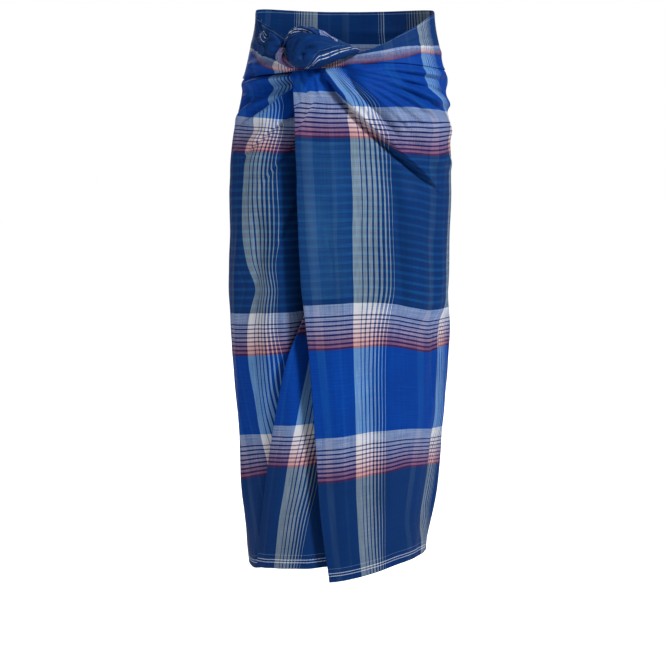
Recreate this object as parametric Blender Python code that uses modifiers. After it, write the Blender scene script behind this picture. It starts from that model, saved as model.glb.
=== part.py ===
"""A longyi: a tube of plaid cotton, worn folded flat across the front and tied in a knot at the waist.

Metres, +Z up. The front faces -Y and +X is at the right of someone who looks at the front. The origin is
the centre of the waist, at the height of the knot, where the wearer holds the garment up.

The cloth is one tube, so every panel is a stretch of the same wall. A point of the wall is found from its
turn, in degrees round the form from the front centre (+90 is the right side, 180 the centre back), its
height, and its lift, the distance that it stands off the form. A pleat is a run that turns back on itself,
each layer further out than the one beneath it.
"""

import bpy
import numpy as np

# Cloth and joins
WALL = 0.0012  # thickness of the cloth wall
GAP = 0.0003  # between two pieces at a join
BEHIND = WALL + GAP  # from a wall to a piece that lies on it, middle to middle
LAYER = 0.0036  # from one layer of a pleat to the next
FRONT_LIFT = 4 * LAYER  # the front panel rides on the pleats under it
TURN_M = 0.17  # metres of cloth for one radian of turn
SQUARE = 0.035  # how far the corners of the form stand out of an ellipse

# Where the panels meet, in degrees of turn
SIDE = 100.0  # a front panel ends this far round from the front centre
SEAM = 152.0  # the tube's one sewn seam, at the back
BAND_JOIN = -20.0  # the two front ends of the waist band meet here, behind the knot

# Pleats: how far a layer runs on under the front fold before it turns back, in degrees
LOWER_TUCK = 15.0
UPPER_TUCK = 22.0

# Edges
HEM_TURN = 0.014  # height of the turned hem
TUCKED = 0.012  # the panels run this far up behind the waist band
BAND_LIFT = 0.0034  # the band's lower edge stands this far off the panels
EDGE_GAP = 0.002  # from the turned hem up to the seam's pressed-open edges
GAP_TURN = np.degrees(GAP / TURN_M)  # the gap as a turn
SEAM_TURN = np.degrees(0.011 / TURN_M)  # width of one of the seam's two pressed-open edges, as a turn


class Rows:
    """A short table with named columns, read at any value of its first column as a smooth curve."""

    def __init__(self, names, *rows):
        self.columns = dict(zip(names.split(), np.array(rows, float).T))
        self.key = next(iter(self.columns.values()))

    def at(self, name, where):
        """A cubic through the rows, level before the first and after the last."""
        value = self.columns[name]
        slope = np.gradient(value, self.key)
        where = np.clip(where, self.key[0], self.key[-1])
        low = np.clip(np.searchsorted(self.key, where) - 1, 0, len(self.key) - 2)
        span = self.key[low + 1] - self.key[low]
        t = (where - self.key[low]) / span
        through = value[low] * (1 + 2 * t) * (1 - t) ** 2 + value[low + 1] * t**2 * (3 - 2 * t)
        return through + span * t * (1 - t) * (slope[low] * (1 - t) - slope[low + 1] * t)


# The form that the cloth hangs on: half widths to the left and right, half depths to the front and back.
FORM = Rows(
    "height left right front back",
    (-0.900, 0.165, 0.144, 0.116, 0.112),
    (-0.825, 0.173, 0.152, 0.117, 0.113),
    (-0.747, 0.181, 0.162, 0.118, 0.115),
    (-0.670, 0.184, 0.168, 0.119, 0.117),
    (-0.593, 0.190, 0.175, 0.120, 0.120),
    (-0.515, 0.196, 0.180, 0.121, 0.124),
    (-0.438, 0.199, 0.182, 0.122, 0.128),
    (-0.309, 0.195, 0.184, 0.122, 0.135),
    (-0.180, 0.194, 0.187, 0.119, 0.137),
    (-0.128, 0.187, 0.183, 0.116, 0.132),
    (-0.090, 0.177, 0.178, 0.113, 0.125),
    (-0.051, 0.169, 0.174, 0.110, 0.117),
    (-0.012, 0.160, 0.166, 0.105, 0.109),
    (0.032, 0.152, 0.158, 0.100, 0.102),
    (0.070, 0.150, 0.156, 0.097, 0.099),
)

# How far across from the centre line the two folded edges lie, and how far the left panel sinks in
# beside the front fold.
PLEATS = Rows(
    "height front_fold inner_fold sink",
    (-0.900, -0.022, -0.147, 0.000),
    (-0.780, -0.038, -0.134, 0.000),
    (-0.650, -0.047, -0.117, 0.001),
    (-0.510, -0.057, -0.091, 0.004),
    (-0.425, -0.065, -0.066, 0.009),
    (-0.300, -0.073, -0.055, 0.014),
    (-0.180, -0.078, -0.056, 0.015),
    (-0.100, -0.081, -0.058, 0.011),
    (-0.030, -0.084, -0.062, 0.005),
)

# Height of the hem, for the front and right-hand cloth and for the cloth at the left and behind the fold.
HEM = Rows(
    "turn right left",
    (-180, -0.876, -0.876),
    (-90, -0.893, -0.893),
    (-50, -0.893, -0.884),
    (-8, -0.897, -0.872),
    (15, -0.884, -0.872),
    (40, -0.868, -0.868),
    (62, -0.866, -0.866),
    (90, -0.872, -0.872),
    (180, -0.876, -0.876),
)

# The waist band's lower and upper edge.
BAND = Rows(
    "turn low high",
    (-180, -0.034, 0.070),
    (-90, -0.046, 0.066),
    (-60, -0.043, 0.049),
    (-46, -0.039, 0.037),
    (-36, -0.037, 0.022),
    (-16, -0.031, 0.006),
    (6, -0.024, -0.006),
    (16, -0.023, 0.003),
    (34, -0.023, 0.026),
    (58, -0.023, 0.052),
    (90, -0.022, 0.066),
    (180, -0.034, 0.070),
)

# The largest folds. Each runs from one place to another, in metres round the form and up, bows sideways,
# and stands off by rise, or sinks in where rise is negative. Above and below are its widths on its two sides.
FOLDS = Rows(
    "around height to_around to_height bow rise above below",
    (-0.046, -0.060, 0.150, -0.232, 0.010, 0.0060, 0.030, 0.014),
    (0.010, -0.055, 0.250, -0.090, 0.003, 0.0040, 0.014, 0.012),
    (-0.100, -0.062, -0.245, -0.100, -0.006, 0.0050, 0.014, 0.012),
    (-0.105, -0.085, -0.250, -0.150, -0.010, 0.0055, 0.020, 0.012),
    (0.060, -0.210, 0.075, -0.840, 0.004, 0.0035, 0.024, 0.026),
    (0.225, -0.300, 0.215, -0.850, 0.006, 0.0055, 0.022, 0.020),
    (-0.200, -0.300, -0.225, -0.860, 0.004, 0.0045, 0.022, 0.022),
    (0.345, -0.210, 0.330, -0.860, 0.006, 0.0080, 0.028, 0.024),
    (0.430, -0.260, 0.440, -0.860, 0.004, -0.0060, 0.024, 0.024),
    (0.515, -0.240, 0.500, -0.860, 0.004, 0.0070, 0.024, 0.024),
    (-0.330, -0.210, -0.345, -0.870, 0.005, 0.0075, 0.026, 0.026),
    (-0.425, -0.280, -0.415, -0.870, 0.005, -0.0055, 0.024, 0.024),
    (0.290, -0.060, 0.500, -0.110, 0.006, 0.0045, 0.014, 0.012),
    (-0.290, -0.070, -0.500, -0.120, 0.006, 0.0045, 0.014, 0.012),
)

# The knot's four pieces, each a soft tube along its own path on the waist band: how far across and how high
# each section's centre lies, how far it stands off the band, its half height and half depth, and its lean.
KNOT_BULB = Rows(
    "along across height off tall deep lean",
    (0.0, -0.090, 0.000, 0.008, 0.010, 0.006, 0),
    (0.2, -0.078, 0.000, 0.018, 0.023, 0.016, 0),
    (0.4, -0.058, 0.000, 0.023, 0.028, 0.021, 4),
    (0.6, -0.034, -0.003, 0.021, 0.026, 0.019, 8),
    (0.8, -0.008, -0.001, 0.014, 0.013, 0.012, 14),
    (1.0, 0.026, -0.001, 0.006, 0.004, 0.004, 20),
)
KNOT_RIM = Rows(
    "along across height off tall deep lean",
    (0.0, -0.094, 0.014, 0.008, 0.0025, 0.003, 0),
    (0.2, -0.078, 0.031, 0.014, 0.0040, 0.006, 0),
    (0.4, -0.058, 0.036, 0.017, 0.0050, 0.007, 0),
    (0.6, -0.034, 0.030, 0.016, 0.0045, 0.007, 0),
    (0.8, -0.010, 0.021, 0.011, 0.0035, 0.005, 0),
    (1.0, 0.016, 0.009, 0.006, 0.0020, 0.003, 0),
)
KNOT_TWIST = Rows(
    "along across height off tall deep lean",
    (0.0, -0.095, -0.010, 0.010, 0.003, 0.004, 120),
    (0.3, -0.102, -0.020, 0.010, 0.006, 0.006, 80),
    (0.6, -0.096, -0.033, 0.011, 0.007, 0.007, 40),
    (1.0, -0.070, -0.038, 0.010, 0.004, 0.004, 0),
)
KNOT_TAIL = Rows(
    "along across height off tall deep lean",
    (0.0, -0.132, 0.018, 0.006, 0.004, 0.003, 20),
    (0.4, -0.119, 0.012, 0.010, 0.013, 0.007, 15),
    (0.7, -0.108, 0.009, 0.010, 0.012, 0.006, 10),
    (1.0, -0.099, 0.004, 0.008, 0.005, 0.004, 0),
)


def mix(a, b, share):
    return a * (1 - share) + b * share


def smooth(low, high, value):
    """0 at low, 1 at high, and a soft rise between."""
    t = np.clip((value - low) / (high - low), 0, 1)
    return t * t * (3 - 2 * t)


def wrapped(turn):
    return (turn + 180) % 360 - 180


def turn_at(across, height, lift):
    """The turn whose point on the front is this far across from the centre line."""
    width = np.where(across < 0, FORM.at("left", height), FORM.at("right", height))
    return np.degrees(np.arcsin(across / (width + lift)))


def front_turn(height):
    return turn_at(PLEATS.at("front_fold", height), height, FRONT_LIFT)


def inner_turn(height):
    return turn_at(PLEATS.at("inner_fold", height), height, 2 * LAYER)


def fold_relief(turn, height):
    """Sum of the largest folds. A fold's section is a bell with unlike sides, which fades out at its ends."""
    round_m = np.radians(turn) * TURN_M
    lap = 2 * np.pi * TURN_M
    total = 0 * round_m * height
    for x0, z0, x1, z1, bow, rise, above, below in zip(*FOLDS.columns.values()):
        middle = (x0 + x1) / 2
        across = (round_m - middle + lap / 2) % lap - lap / 2 + middle - x0
        length = np.hypot(x1 - x0, z1 - z0)
        along = (across * (x1 - x0) + (height - z0) * (z1 - z0)) / length**2
        off = ((height - z0) * (x1 - x0) - across * (z1 - z0)) / length - bow * 4 * along * (1 - along)
        off = off * np.sign(x1 - x0)
        bell = np.exp(-((off / np.where(off > 0, above, below)) ** 2))
        total = total + rise * bell * smooth(-0.1, 0.15, along) * smooth(1.1, 0.8, along)
    return total


def wall_points(turn, height, lift):
    """An ellipse with squared corners at each height, moved out by lift along its own normal."""
    turn = wrapped(turn)
    across = np.where(turn < 0, FORM.at("left", height), FORM.at("right", height))
    depth = np.where(np.abs(turn) < 90, FORM.at("front", height), FORM.at("back", height))
    a = np.radians(turn)
    square = 1 + SQUARE * np.sin(2 * a) ** 2
    normal = np.stack([depth * np.sin(a), -across * np.cos(a)])
    normal = normal / np.hypot(*normal)
    x = across * np.sin(a) * square + normal[0] * lift
    y = -depth * np.cos(a) * square + normal[1] * lift
    return np.stack([x, y, height + 0 * turn], axis=-1)


def across_run(start, end, count):
    return mix(start, end, np.linspace(0, 1, count)[None, :])


def fold_bend(edge, low, high, count, outward):
    """A half round that joins two layers: outward is -1 for a fold to the left and 1 for one to the right."""
    angle = np.linspace(-np.pi / 2, np.pi / 2, count + 2)[None, 1:-1]
    radius = (high - low) / 2
    return edge + outward * np.degrees(radius * np.cos(angle) / TURN_M), (low + high) / 2 + radius * np.sin(angle)


def exposed(turn, height):
    """1 on the cloth at the left of the front fold, fading to 0 on what the front panel hides."""
    return smooth(0, -8, turn - front_turn(height))


def left_section(height):
    """Left panel: from the left side to its tuck behind the front fold, where it turns back."""
    tuck = front_turn(height) + LOWER_TUCK
    turn = across_run(-SIDE, tuck, 19)
    sink = PLEATS.at("sink", height) * smooth(-15, -2, turn - front_turn(height))
    lift = fold_relief(turn, height) * exposed(turn, height) - sink
    bend = fold_bend(tuck, lift[:, -1:], LAYER, 3, 1)
    return np.hstack([turn, bend[0]]), np.hstack([lift, bend[1]])


def inner_section(height):
    """Inner pleat: left to its folded edge, then back over itself to its tuck, where it turns again."""
    start = front_turn(height) + LOWER_TUCK - GAP_TURN
    edge = inner_turn(height)
    tuck = front_turn(height) + UPPER_TUCK
    under = across_run(start, edge, 7)
    over = across_run(edge, tuck, 8)
    flat = 0 * under + LAYER
    raised = 0 * over + 2 * LAYER
    left = fold_bend(edge, flat[:, :1], raised[:, :1], 2, -1)
    right = fold_bend(tuck, raised[:, :1], raised[:, :1] + LAYER, 2, 1)
    return np.hstack([under, left[0], over, right[0]]), np.hstack([flat, left[1], raised, right[1]])


def front_section(height):
    """Front panel: left under itself to the front fold, then over the front to the right side."""
    edge = front_turn(height)
    under = across_run(edge + UPPER_TUCK - GAP_TURN, edge, 5)
    over = across_run(edge, SIDE, 27)
    low = 0 * under + 3 * LAYER
    lift = FRONT_LIFT * smooth(85, 22, over) + fold_relief(over, height)
    bend = fold_bend(edge, low[:, :1], lift[:, :1], 3, -1)
    return np.hstack([under, bend[0], over]), np.hstack([low, bend[1], lift])


def back_right_section(height):
    """From the right side to the seam, with its last column as wide as the seam's edge."""
    turn = across_run(SIDE + GAP_TURN + 0 * height, SEAM - SEAM_TURN, 9)
    turn = np.hstack([turn, turn[:, -1:] + SEAM_TURN - GAP_TURN])
    return turn, fold_relief(turn, height)


def back_left_section(height):
    """From the seam on round the back to the left side, with its first column as wide as the seam's edge."""
    turn = across_run(SEAM + SEAM_TURN + 0 * height, 360 - SIDE - GAP_TURN, 17)
    turn = np.hstack([turn[:, :1] - SEAM_TURN + GAP_TURN, turn])
    return turn, fold_relief(turn, height)


def panel_grid(section, side, rows):
    """Turn, height and lift of a panel's points. Its second row is the top of the turned hem."""
    tall = BAND.at("low", 0.0) - HEM.at(side, 0.0)
    first, _ = section(np.full((1, 1), -tall / 2))
    share = np.linspace((HEM_TURN + EDGE_GAP) / tall, 1, rows - 2)
    share = np.concatenate([[0, HEM_TURN / tall], share])[:, None]
    turn = np.repeat(first, rows, axis=0)
    for _ in range(3):
        where = wrapped(turn)
        height = mix(HEM.at(side, where), BAND.at("low", where) + TUCKED, share)
        columns = [section(height[:, [i]]) for i in range(height.shape[1])]
        turn = np.stack([c[0][:, i] for i, c in enumerate(columns)], axis=1)
    lift = np.stack([c[1][:, i] for i, c in enumerate(columns)], axis=1)
    return turn, height, lift


def material(name, colour, roughness):
    made = bpy.data.materials.new(name)
    made.use_nodes = True
    shader = made.node_tree.nodes["Principled BSDF"]
    shader.inputs["Base Color"].default_value = (*colour, 1)
    shader.inputs["Roughness"].default_value = roughness
    shader.inputs["Metallic"].default_value = 0
    return made


def surface(name, points, finish, ring=False):
    """An object from rows by columns of points. With ring each row closes on itself and the ends are capped."""
    rows, columns = points.shape[:2]
    number = np.arange(rows * columns).reshape(rows, columns)
    around = np.hstack([number, number[:, :1]]) if ring else number
    corners = [around[:-1, :-1], around[:-1, 1:], around[1:, 1:], around[1:, :-1]]
    faces = np.stack(corners, axis=-1).reshape(-1, 4).tolist()
    if ring:
        faces += [number[0, ::-1].tolist(), number[-1].tolist()]
    mesh = bpy.data.meshes.new(name)
    mesh.from_pydata(points.reshape(-1, 3).tolist(), [], faces)
    mesh.shade_smooth()
    mesh.materials.append(finish)
    made = bpy.data.objects.new(name, mesh)
    garment.objects.link(made)
    return made


def cloth(name, turn, height, lift, finish):
    """A cloth wall: an open surface, thickened to both sides."""
    wall = surface(name, wall_points(turn, height, lift), finish).modifiers.new("wall", "SOLIDIFY")
    wall.thickness = WALL
    wall.offset = 0


def panel(name, section, side, rows, hem_columns):
    """A panel, and on its inner face the turned hem, made from the panel's own lowest points."""
    turn, height, lift = panel_grid(section, side, rows)
    cloth(name, turn, height, lift, plaid)
    behind(name + "_hem", (turn, height, lift), slice(0, 2), hem_columns)
    return turn, height, lift


def behind(name, grid, rows, columns):
    """A strip on the inner face of a panel, made from the panel's own points."""
    turn, height, lift = (part[rows, columns] for part in grid)
    cloth(name, turn, height, lift - BEHIND, hem_cotton)


def ride(turn):
    """How far the band and the knot are held out by the pleats under them."""
    return FRONT_LIFT * smooth(85, 22, turn) * smooth(-66, -42, turn)


def band(name, start, end, columns):
    """A stretch of the waist band: its lower edge laps over the panels and its upper edge lies on the form."""
    turn = np.linspace(start + GAP_TURN, end - GAP_TURN, columns)[None, :] + np.zeros((5, 1))
    share = np.array([0, 0.12, 0.4, 0.7, 1])[:, None]
    where = wrapped(turn)
    height = mix(BAND.at("low", where), BAND.at("high", where), share)
    lift = fold_relief(turn, height) + ride(where) + BAND_LIFT * smooth(1, 0.35, share)
    cloth(name, turn, height, lift, band_cotton)


def knot_piece(name, rows, sections, sides, pleats):
    """A closed soft tube along its path, with pleats that run round its sections."""
    along = np.linspace(0, 1, sections)[:, None]
    angle = np.linspace(2 * np.pi, 0, sides, endpoint=False)[None, :]
    lean = np.radians(rows.at("lean", along))
    height = rows.at("height", along)
    turn = turn_at(rows.at("across", along), height, FRONT_LIFT)
    centre = wall_points(turn, height, ride(turn) + BAND_LIFT + rows.at("off", along))
    ripple = 1 + 0.06 * np.cos(pleats * angle + 3 * along)
    up = rows.at("tall", along) * np.sin(angle) * ripple
    out = rows.at("deep", along) * np.cos(angle) * ripple
    section = np.stack([up * np.sin(lean), -out, up * np.cos(lean)], axis=-1)
    surface(name, centre + section, knot_cotton, ring=True)


for old in list(bpy.data.objects):
    bpy.data.objects.remove(old)
garment = bpy.data.collections.new("longyi")
bpy.context.scene.collection.children.link(garment)
plaid = material("plaid_cotton", (0.02, 0.10, 0.33), 0.7)
hem_cotton = material("turned_edge_cotton", (0.01, 0.04, 0.13), 0.75)
band_cotton = material("waist_band_cotton", (0.01, 0.06, 0.16), 0.7)
knot_cotton = material("knot_cotton", (0.01, 0.07, 0.20), 0.7)

panel("front_left_panel", left_section, "left", 18, slice(0, 18))
panel("inner_pleat", inner_section, "left", 15, slice(9, 16))
panel("front_right_panel", front_section, "right", 19, slice(8, None))
back_right = panel("back_right_panel", back_right_section, "right", 15, slice(0, None))
back_left = panel("back_left_panel", back_left_section, "right", 15, slice(0, None))
behind("seam_edge_right", back_right, slice(2, None), slice(-2, None))
behind("seam_edge_left", back_left, slice(2, None), slice(0, 2))
band("waist_band_left", -SIDE, BAND_JOIN, 12)
band("waist_band_right", BAND_JOIN, SIDE, 16)
band("waist_band_back", SIDE, 360 - SIDE, 18)
knot_piece("knot_bulb", KNOT_BULB, 14, 16, 5)
knot_piece("knot_rim", KNOT_RIM, 14, 8, 2)
knot_piece("knot_twist", KNOT_TWIST, 10, 8, 3)
knot_piece("knot_tail", KNOT_TAIL, 10, 10, 3)
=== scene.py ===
"""A longyi in its worn shape: a tube of plaid cotton, folded flat across the front and knotted at the waist.

Metres, +Z up, the front faces -Y. The cloth is worked out as one grid of points that runs once round the
tube, from the seam at the back over the left side, through the pleats and over the front to the seam again.
Each row of the grid is a height and each column a thread of the warp. The grid is then cut where the panels
end, and each cut becomes a wall with two faces and a rim.
"""

import bpy
import numpy as np
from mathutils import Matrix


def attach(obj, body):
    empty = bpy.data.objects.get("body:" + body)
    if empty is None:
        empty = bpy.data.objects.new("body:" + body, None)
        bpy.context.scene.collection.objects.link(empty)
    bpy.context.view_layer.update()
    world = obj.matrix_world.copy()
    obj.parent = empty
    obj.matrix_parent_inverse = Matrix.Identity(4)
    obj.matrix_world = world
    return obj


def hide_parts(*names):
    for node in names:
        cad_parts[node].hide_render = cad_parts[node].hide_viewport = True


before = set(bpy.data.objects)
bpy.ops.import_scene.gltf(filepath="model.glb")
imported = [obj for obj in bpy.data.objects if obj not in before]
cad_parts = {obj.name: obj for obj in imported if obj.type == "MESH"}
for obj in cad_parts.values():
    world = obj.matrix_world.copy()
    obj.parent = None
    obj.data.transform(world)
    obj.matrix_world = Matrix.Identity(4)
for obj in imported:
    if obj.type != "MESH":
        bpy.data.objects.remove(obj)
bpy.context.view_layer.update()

# Cloth
CLOTH = 0.0009  # thickness of the cloth, with its nap
BEHIND = 0.0015  # from the cloth to the turned hem behind it
LAYER = 0.0036  # from one layer of a pleat to the next
FRONT_LIFT = 4 * LAYER  # the front panel rides on the pleats under it
BAND_LIFT = 0.0034  # the waist band's lower edge stands this far off the panels
TURN_M = 0.17  # metres of cloth for one radian of turn
SQUARE = 0.035  # how far the corners of the form stand out of an ellipse

# Where the panels meet, in degrees of turn from the front centre, +90 at the right side
SIDE = 100.0
SEAM = 152.0
BAND_JOIN = -20.0
LOWER_TUCK = 15.0  # degrees by which the left panel runs on behind the front fold
UPPER_TUCK = 13.5  # degrees by which the inner pleat does
TUCKED = 0.012  # the panels run this far up behind the waist band
LAP_EDGE = 0.0024  # half the width of the step where cloth laps over itself
SLIDE_EDGE = 0.0016  # half the width of the line across which the pattern slides there
PUFF = 0.0042  # the panels stand out this far just under the waist band
PUFF_DROP = 0.009  # and are fullest this far below its edge
BAND_CURL = 0.0014  # radius of the fold along the band's lower edge
FLOOR = -0.99

# The weave: one repeat of the plaid
WARP_REPEAT = 0.167  # round the tube
WARP_BAND = 0.0488  # the pale lengthwise band
WEFT_REPEAT = 0.576  # up the tube: pale band, bright ground, pale band, dark ground
WEFT_BAND = 0.076  # each pale crosswise band
WEFT_SECOND = 0.225  # from one pale band to the next across the bright ground
WEFT_FIRST = 0.170  # the lowest pale band's height above the hem
CLOTH_TOP = 1.105  # height of the woven cloth
BAND_TOP = 1.085  # height in the cloth of the fold along the top of the waist band
FINE_LINES = 0.0141  # from one fine pale line to the next in the dark ground
STITCH = 0.0046  # length of a stitch and its gap along the edges
YARN = 0.0007  # width of a yarn


class Rows:
    """A short table with named columns, read at any value of its first column as a smooth curve."""

    def __init__(self, names, *rows):
        self.columns = dict(zip(names.split(), np.array(rows, float).T))
        self.key = next(iter(self.columns.values()))

    def each(self):
        """The rows one by one."""
        return zip(*self.columns.values())

    def at(self, name, where):
        """A cubic through the rows, level before the first and after the last."""
        value = self.columns[name]
        slope = np.gradient(value, self.key)
        where = np.clip(where, self.key[0], self.key[-1])
        low = np.clip(np.searchsorted(self.key, where) - 1, 0, len(self.key) - 2)
        span = self.key[low + 1] - self.key[low]
        t = (where - self.key[low]) / span
        through = value[low] * (1 + 2 * t) * (1 - t) ** 2 + value[low + 1] * t**2 * (3 - 2 * t)
        return through + span * t * (1 - t) * (slope[low] * (1 - t) - slope[low + 1] * t)


def millimetres(names, *rows):
    """A table whose rows are given in millimetres, turned to metres."""
    return Rows(names, *(np.array(row) / 1000 for row in rows))


# The form that the cloth hangs on, in mm: half widths to the left and right, half depths to the front and back.
FORM = millimetres(
    "height left right front back",
    (-900, 165, 144, 116, 112),
    (-825, 173, 152, 117, 113),
    (-747, 181, 162, 118, 115),
    (-670, 184, 168, 119, 117),
    (-593, 190, 175, 120, 120),
    (-515, 196, 180, 121, 124),
    (-438, 199, 182, 122, 128),
    (-309, 195, 184, 122, 135),
    (-180, 194, 187, 119, 137),
    (-128, 187, 183, 116, 132),
    (-90, 177, 178, 113, 125),
    (-51, 169, 174, 110, 117),
    (-12, 160, 166, 105, 109),
    (32, 152, 158, 100, 102),
    (70, 150, 156, 97, 99),
)

# In mm, how far across from the centre line the two folded edges lie, how far the layers under the front panel
# sink in beside its fold, and how far the left panel steps back behind the inner pleat.
PLEATS = millimetres(
    "height front_fold inner_fold sink step",
    (-900, -22, -147, 13, 4),
    (-780, -38, -134, 18, 6),
    (-650, -47, -117, 22, 8),
    (-510, -57, -91, 27, 11),
    (-425, -65, -66, 31, 8),
    (-300, -73, -55, 33, 0),
    (-180, -78, -56, 28, 0),
    (-100, -81, -58, 15, 0),
    (-30, -84, -62, 4, 0),
)

# The waist band's lower and upper edge, and on it the lower and upper edge of its pale crosswise band,
# as shares of the band's height.
BAND = Rows(
    "turn low high pale_from pale_to",
    (-180, -0.034, 0.070, 0.20, 0.46),
    (-90, -0.046, 0.066, 0.40, 0.46),
    (-63, -0.043, 0.051, 0.36, 0.41),
    (-52, -0.041, 0.041, 0.25, 0.37),
    (-43, -0.039, 0.033, 0.11, 0.33),
    (-36, -0.037, 0.022, 0.02, 0.26),
    (-16, -0.031, 0.006, 0.00, 0.40),
    (6, -0.025, -0.006, 0.00, 0.86),
    (20, -0.021, 0.007, 0.01, 0.66),
    (34, -0.022, 0.026, 0.17, 0.55),
    (45, -0.025, 0.039, 0.30, 0.48),
    (60, -0.029, 0.054, 0.26, 0.42),
    (90, -0.032, 0.066, 0.24, 0.41),
    (180, -0.034, 0.070, 0.20, 0.46),
)

HUNG = "hem first first_top second second_top third third_top"


def hanging(*rows):
    """A table of heights in metres by turn, from rows of a turn and its drops in millimetres."""
    return Rows("turn " + HUNG, *((turn, *np.array(drops) / -1000) for turn, *drops in rows))


# How low the hem and then the lower and upper edge of each pale crosswise band hang. The pleats were folded a
# little askew, so the bands step from one panel to the next.
HANG_LEFT = hanging(
    (-208, 876, 716, 640, 498, 424, 158, 86),
    (-150, 884, 726, 652, 508, 436, 166, 96),
    (-90, 893, 742, 664, 524, 450, 172, 110),
    (-66, 893, 734, 656, 518, 444, 170, 108),
    (-45, 882, 720, 648, 512, 440, 166, 108),
    (-28, 876, 714, 642, 506, 436, 168, 110),
    (0, 872, 712, 640, 504, 434, 168, 110),
)
HANG_PLEAT = hanging(
    (-60, 886, 706, 634, 478, 398, 150, 80),
    (-30, 878, 700, 628, 474, 396, 150, 80),
    (20, 872, 692, 620, 472, 396, 150, 80),
)
HANG_FRONT = hanging(
    (-22, 897, 726, 650, 498, 422, 142, 63),
    (-8, 897, 724, 646, 496, 419, 144, 68),
    (7, 890, 716, 640, 492, 416, 144, 68),
    (23, 879, 708, 634, 490, 418, 148, 72),
    (35, 871, 702, 634, 498, 426, 154, 80),
    (48, 867, 704, 638, 506, 434, 164, 92),
    (64, 866, 708, 644, 503, 436, 170, 100),
    (90, 872, 712, 646, 503, 436, 170, 102),
    (152, 876, 716, 640, 498, 424, 158, 86),
)

# Where the left edge of each lengthwise band lies, in metres round the form from the front centre: the left
# panel's, the inner pleat's and the front panel's two. Then how wide the left panel's band is spread, and the
# front panel's first one.
STRIPES = Rows(
    "height left pleat front right spread front_spread",
    (-0.900, -0.112, -0.127, 0.036, 0.176, 1.20, 0.96),
    (-0.842, -0.116, -0.115, 0.029, 0.178, 1.20, 0.98),
    (-0.792, -0.120, -0.105, 0.025, 0.157, 1.20, 1.00),
    (-0.748, -0.124, -0.095, 0.022, 0.163, 1.20, 1.00),
    (-0.684, -0.134, -0.084, 0.021, 0.178, 1.25, 0.98),
    (-0.632, -0.145, -0.073, 0.020, 0.196, 1.30, 0.97),
    (-0.574, -0.154, -0.063, 0.018, 0.190, 1.30, 0.97),
    (-0.522, -0.159, -0.054, 0.016, 0.181, 1.40, 0.98),
    (-0.456, -0.154, -0.046, 0.015, 0.186, 1.15, 1.06),
    (-0.425, -0.146, -0.040, 0.015, 0.216, 1.00, 1.16),
    (-0.402, -0.140, -0.040, 0.015, 0.214, 0.90, 1.24),
    (-0.352, -0.158, -0.040, 0.014, 0.210, 1.20, 1.28),
    (-0.314, -0.168, -0.040, 0.013, 0.208, 1.50, 1.26),
    (-0.236, -0.170, -0.040, 0.013, 0.208, 1.50, 1.22),
    (-0.178, -0.166, -0.040, 0.011, 0.208, 1.35, 1.20),
    (-0.134, -0.154, -0.040, 0.009, 0.226, 1.20, 1.15),
    (-0.110, -0.154, -0.040, 0.006, 0.232, 1.15, 1.08),
    (-0.088, -0.153, -0.040, 0.008, 0.184, 1.10, 0.94),
    (-0.074, -0.152, -0.040, 0.004, 0.162, 1.05, 0.80),
    (-0.060, -0.151, -0.040, -0.006, 0.145, 1.00, 0.70),
    (-0.046, -0.150, -0.040, -0.016, 0.138, 0.95, 0.58),
    (-0.034, -0.146, -0.040, -0.025, 0.136, 0.90, 0.50),
    (-0.020, -0.118, -0.040, -0.034, 0.136, 0.90, 0.70),
    (0.060, -0.112, -0.040, -0.036, 0.136, 0.90, 0.80),
)

# Where the same two bands would stand if they hung straight, as they do behind.
BACK_LEFT = -0.150
BACK_RIGHT = 0.190

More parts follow.
